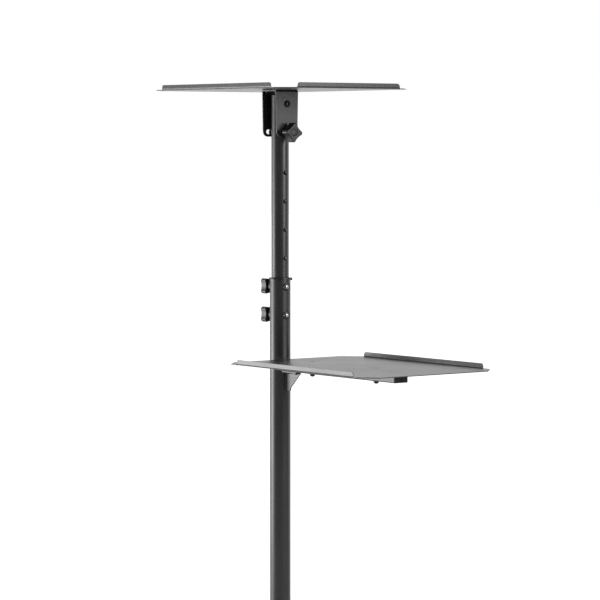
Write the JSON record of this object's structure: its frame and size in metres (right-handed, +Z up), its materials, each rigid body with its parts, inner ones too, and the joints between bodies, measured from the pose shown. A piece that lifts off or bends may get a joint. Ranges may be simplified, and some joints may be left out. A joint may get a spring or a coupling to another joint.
{
  "type": "projector trolley",
  "caption": "Black steel projector trolley: castor base, telescopic pole, tilting projector shelf on top and a laptop shelf on a side arm.",
  "frame": {"origin": "on the floor, under the middle of the trolley's bounding box; the pole stands 99.5 mm towards -X from it", "axes": "+Z up; +Y the way the projector shines; +X from the pole towards the laptop shelf"},
  "size_m": [0.689, 0.484, 1.221],
  "materials": {
    "frame_steel": "satin black powder coat with a fine grain",
    "shelf_sheet": "satin black powder coat on folded sheet",
    "black_plastic": "moulded black plastic, lightly textured",
    "wheel_plastic": "hard dark grey tread",
    "black_fasteners": "black oxide",
    "zinc_steel": "bright zinc plate"
  },
  "bodies": {
    "base": {"base_leg_left": "frame_steel", "base_leg_right": "frame_steel", "base_crossbar": "frame_steel", "leg_end_caps": "black_plastic", "pole_foot": "frame_steel", "foot_bolts": "black_fasteners", "castor_front_left": "black_plastic", "castor_front_right": "black_plastic", "castor_rear_left": "black_plastic", "castor_rear_right": "black_plastic", "wheels_front_left": "wheel_plastic", "wheels_front_right": "wheel_plastic", "wheels_rear_left": "wheel_plastic", "wheels_rear_right": "wheel_plastic", "castor_stems": "zinc_steel", "brake_levers": "black_plastic", "lower_tube": "frame_steel", "tube_collar": "black_plastic", "lock_nuts": "black_fasteners", "lock_bolt_tips": "zinc_steel", "shelf_arm": "frame_steel", "arm_end_cap": "black_plastic", "arm_bracket": "frame_steel", "arm_bracket_screws": "black_fasteners", "laptop_shelf": "shelf_sheet", "shelf_bolts": "black_fasteners"},
    "height_grip_upper": {"height_knob_upper": "black_plastic", "height_stud_upper": "zinc_steel"},
    "height_grip_lower": {"height_knob_lower": "black_plastic", "height_stud_lower": "zinc_steel"},
    "mast": {"upper_tube": "frame_steel", "tube_plug": "black_plastic", "pivot_bolt": "black_fasteners", "pivot_spacers": "black_plastic", "clamp_bolt": "black_fasteners"},
    "clamp_grip": {"clamp_knob": "black_plastic"},
    "head": {"tilt_bracket": "frame_steel", "projector_shelf": "shelf_sheet", "shelf_screws": "black_fasteners"}
  },
  "joints": [
    {"name": "height_slide", "type": "slide", "parent": "base", "child": "mast", "axis": [0, 0, 1], "range_m": [-0.208, 0]},
    {"name": "head_tilt", "type": "hinge", "parent": "mast", "child": "head", "pos_m": [-0.0995, 0, 1.186], "axis": [1, 0, 0], "range_deg": [-13, 13]},
    {"name": "clamp_knob_turn", "type": "hinge", "parent": "mast", "child": "clamp_grip", "pos_m": [-0.0735, 0, 1.134], "axis": [1, 0, 0], "continuous": true},
    {"name": "height_knob_upper_turn", "type": "hinge", "parent": "base", "child": "height_grip_upper", "pos_m": [-0.1215, 0, 0.853], "axis": [-1, 0, 0], "continuous": true},
    {"name": "height_knob_lower_turn", "type": "hinge", "parent": "base", "child": "height_grip_lower", "pos_m": [-0.1215, 0, 0.801], "axis": [-1, 0, 0], "continuous": true}
  ]
}
